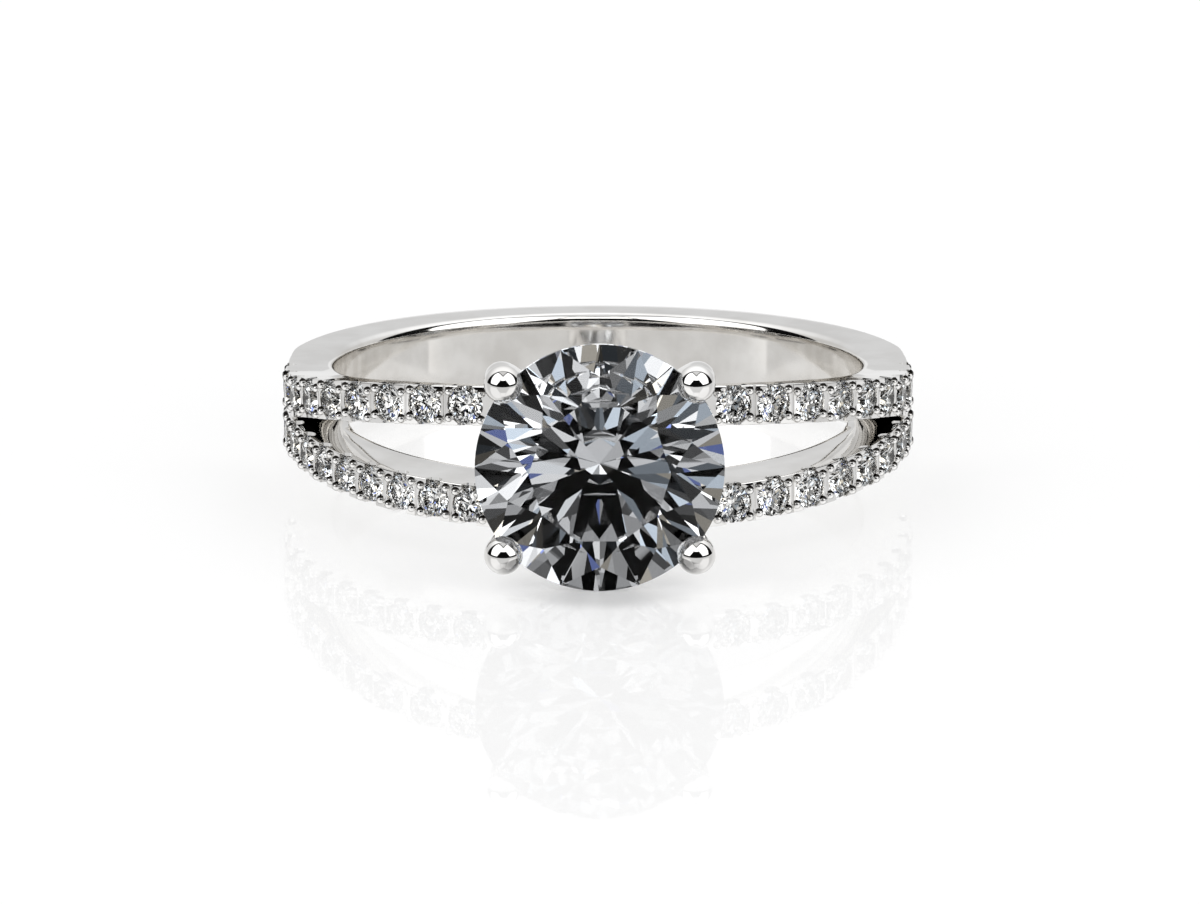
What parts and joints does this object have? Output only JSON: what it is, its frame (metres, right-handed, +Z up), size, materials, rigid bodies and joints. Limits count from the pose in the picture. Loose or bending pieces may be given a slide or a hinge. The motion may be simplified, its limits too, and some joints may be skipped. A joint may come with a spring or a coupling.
{
  "type": "solitaire ring",
  "caption": "Finger ring with a large round brilliant in ball-tipped prongs over a split shank whose bands are set with rows of small brilliants.",
  "frame": {"origin": "middle of the finger hole, on its axis", "axes": "+Z up from the surface that the ring lies on, the centre stone toward -Y, +X to the viewer's right"},
  "size_m": [0.021, 0.0244, 0.008],
  "materials": {
    "white_gold": "polished",
    "clear_stone": "brilliant cut",
    "small_stone": "brilliant cut"
  },
  "bodies": {
    "root": {"ring_body": "white_gold", "centre_stone": "clear_stone", "melee_upper_left": "small_stone", "melee_upper_right": "small_stone", "melee_lower_left": "small_stone", "melee_lower_right": "small_stone"}
  },
  "joints": []
}
